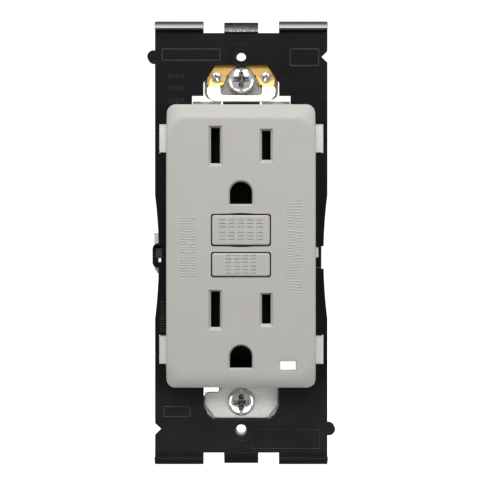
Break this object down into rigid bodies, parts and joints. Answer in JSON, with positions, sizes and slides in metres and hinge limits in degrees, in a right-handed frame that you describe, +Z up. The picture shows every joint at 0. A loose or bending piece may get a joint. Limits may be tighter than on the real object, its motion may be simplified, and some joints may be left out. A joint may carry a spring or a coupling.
{
  "type": "gfci outlet",
  "caption": "Wall outlet with ground-fault trip: grey face with two three-pin sockets, reset and test buttons, steel strap, brass ground clip and black clip-on sub-frame.",
  "frame": {"origin": "midway between the two wall-plate holes, on the strap's rear face", "axes": "+Z up along the device, -Y out of the face, +X to the right as seen from the front"},
  "size_m": [0.0484, 0.0394, 0.115],
  "materials": {
    "grey_face": "satin",
    "grey_button": "satin",
    "white_housing": "satin",
    "black_plastic": "satin",
    "galvanised_steel": "galvanised",
    "brass_plate": "satin",
    "zinc_plate": "bright zinc plate",
    "nickel_plate": "nickel plate",
    "white_fibre": "matte",
    "spring_steel": "bright",
    "clear_lens": "translucent",
    "dark_plastic": "matte",
    "green_plate": "green finish",
    "circuit_laminate": "lacquered",
    "blue_coating": "epoxy coated",
    "copper_winding": "enamelled copper"
  },
  "bodies": {
    "root": {"face_cover": "grey_face", "inner_housing": "white_housing", "subplate": "black_plastic", "mounting_strap": "galvanised_steel", "bonding_plate": "brass_plate", "bonding_rivets": "zinc_plate", "screw_retainers": "white_fibre", "rear_body": "white_housing", "assembly_screws": "zinc_plate", "reset_spring": "spring_steel", "test_spring": "spring_steel", "test_contact": "brass_plate", "indicator_lens": "clear_lens", "status_led": "clear_lens", "upper_shutter_frame": "dark_plastic", "lower_shutter_frame": "dark_plastic", "upper_shutter_spring": "spring_steel", "lower_shutter_spring": "spring_steel", "contact_carrier": "dark_plastic", "hot_contacts": "brass_plate", "neutral_contacts": "brass_plate", "ground_contacts": "brass_plate", "line_hot_terminal": "brass_plate", "line_neutral_terminal": "nickel_plate", "load_hot_terminal": "brass_plate", "load_neutral_terminal": "nickel_plate", "circuit_board": "circuit_laminate", "board_components": "dark_plastic", "surge_absorber": "blue_coating", "sense_transformer": "copper_winding", "neutral_transformer": "copper_winding", "transformer_case": "dark_plastic", "through_conductors": "copper_winding", "solenoid_bobbin": "white_fibre", "solenoid_coil": "copper_winding", "plunger_spring": "spring_steel"},
    "reset": {"reset_button": "grey_button", "reset_stem": "zinc_plate"},
    "test": {"test_button": "grey_button"},
    "upper_hot_shutter": {"upper_hot_shutter": "dark_plastic"},
    "upper_neutral_shutter": {"upper_neutral_shutter": "dark_plastic"},
    "lower_hot_shutter": {"lower_hot_shutter": "dark_plastic"},
    "lower_neutral_shutter": {"lower_neutral_shutter": "dark_plastic"},
    "plunger": {"solenoid_plunger": "zinc_plate"},
    "lifter": {"contact_lifter": "white_fibre", "bridge_contacts": "brass_plate"},
    "latch": {"latch_slider": "zinc_plate"},
    "screw_top": {"mounting_screw_top": "zinc_plate"},
    "screw_bottom": {"mounting_screw_bottom": "zinc_plate"},
    "ground_screw": {"ground_screw": "green_plate"},
    "line_hot_screw": {"line_hot_screw": "brass_plate"},
    "line_hot_clamp": {"line_hot_clamp": "brass_plate"},
    "load_hot_screw": {"load_hot_screw": "brass_plate"},
    "load_hot_clamp": {"load_hot_clamp": "brass_plate"},
    "line_neutral_screw": {"line_neutral_screw": "nickel_plate"},
    "line_neutral_clamp": {"line_neutral_clamp": "nickel_plate"},
    "load_neutral_screw": {"load_neutral_screw": "nickel_plate"},
    "load_neutral_clamp": {"load_neutral_clamp": "nickel_plate"}
  },
  "joints": [
    {"name": "reset_press", "type": "slide", "parent": "root", "child": "reset", "axis": [0, 1, 0], "range_m": [0, 0.002], "stiffness_N_per_m": 900, "springref_m": -0.002, "deforming": ["reset_spring"]},
    {"name": "test_press", "type": "slide", "parent": "root", "child": "test", "axis": [0, 1, 0], "range_m": [0, 0.0012], "stiffness_N_per_m": 700, "springref_m": -0.002, "deforming": ["test_spring"]},
    {"name": "upper_hot_shutter_slide", "type": "slide", "parent": "root", "child": "upper_hot_shutter", "axis": [-1, 0, 0], "range_m": [0, 0.0036], "stiffness_N_per_m": 60, "springref_m": -0.004, "deforming": ["upper_shutter_spring"]},
    {"name": "upper_neutral_shutter_slide", "type": "slide", "parent": "root", "child": "upper_neutral_shutter", "axis": [1, 0, 0], "range_m": [0, 0.0036]},
    {"name": "lower_hot_shutter_slide", "type": "slide", "parent": "root", "child": "lower_hot_shutter", "axis": [-1, 0, 0], "range_m": [0, 0.0036], "stiffness_N_per_m": 60, "springref_m": -0.004, "deforming": ["lower_shutter_spring"]},
    {"name": "lower_neutral_shutter_slide", "type": "slide", "parent": "root", "child": "lower_neutral_shutter", "axis": [1, 0, 0], "range_m": [0, 0.0036]},
    {"name": "plunger_stroke", "type": "slide", "parent": "root", "child": "plunger", "axis": [0, 0, -1], "range_m": [0, 0.0016], "stiffness_N_per_m": 120, "springref_m": -0.003, "deforming": ["plunger_spring"]},
    {"name": "lifter_drop", "type": "slide", "parent": "root", "child": "lifter", "axis": [0, 1, 0], "range_m": [0, 0.0013], "stiffness_N_per_m": 150, "springref_m": -0.003},
    {"name": "latch_slide", "type": "slide", "parent": "lifter", "child": "latch", "axis": [0, 0, -1], "range_m": [0, 0.0016]},
    {"name": "line_hot_screw_turn", "type": "hinge", "parent": "root", "child": "line_hot_screw", "pos_m": [0.0184, 0.0115, -0.017], "axis": [1, 0, 0], "range_deg": [0, 690]},
    {"name": "line_hot_clamp_slide", "type": "slide", "parent": "root", "child": "line_hot_clamp", "axis": [-1, 0, 0], "range_m": [0, 0.0015]},
    {"name": "load_hot_screw_turn", "type": "hinge", "parent": "root", "child": "load_hot_screw", "pos_m": [0.0184, 0.0115, 0.017], "axis": [1, 0, 0], "range_deg": [0, 690]},
    {"name": "load_hot_clamp_slide", "type": "slide", "parent": "root", "child": "load_hot_clamp", "axis": [-1, 0, 0], "range_m": [0, 0.0015]},
    {"name": "line_neutral_screw_turn", "type": "hinge", "parent": "root", "child": "line_neutral_screw", "pos_m": [-0.0184, 0.0115, -0.017], "axis": [-1, 0, 0], "range_deg": [0, 690]},
    {"name": "line_neutral_clamp_slide", "type": "slide", "parent": "root", "child": "line_neutral_clamp", "axis": [1, 0, 0], "range_m": [0, 0.0015]},
    {"name": "load_neutral_screw_turn", "type": "hinge", "parent": "root", "child": "load_neutral_screw", "pos_m": [-0.0184, 0.0115, 0.017], "axis": [-1, 0, 0], "range_deg": [0, 690]},
    {"name": "load_neutral_clamp_slide", "type": "slide", "parent": "root", "child": "load_neutral_clamp", "axis": [1, 0, 0], "range_m": [0, 0.0015]},
    {"name": "screw_top_turn", "type": "hinge", "parent": "root", "child": "screw_top", "pos_m": [0, 0, 0.04212], "axis": [0, -1, 0], "continuous": true},
    {"name": "screw_bottom_turn", "type": "hinge", "parent": "root", "child": "screw_bottom", "pos_m": [0, 0, -0.04122], "axis": [0, -1, 0], "continuous": true},
    {"name": "ground_screw_turn", "type": "hinge", "parent": "root", "child": "ground_screw", "pos_m": [-0.014, 0.006, -0.0369], "axis": [0, 0, -1], "range_deg": [0, 360]}
  ],
  "couplings": [
    {"joint": "upper_neutral_shutter_slide", "follows": "upper_hot_shutter_slide", "ratio": 1},
    {"joint": "lower_neutral_shutter_slide", "follows": "lower_hot_shutter_slide", "ratio": 1},
    {"joint": "latch_slide", "follows": "plunger_stroke", "ratio": 1},
    {"joint": "line_hot_screw_turn", "follows": "line_hot_clamp_slide", "rad_per_m": 7915.8},
    {"joint": "load_hot_screw_turn", "follows": "load_hot_clamp_slide", "rad_per_m": 7915.8},
    {"joint": "line_neutral_screw_turn", "follows": "line_neutral_clamp_slide", "rad_per_m": 7915.8},
    {"joint": "load_neutral_screw_turn", "follows": "load_neutral_clamp_slide", "rad_per_m": 7915.8}
  ]
}
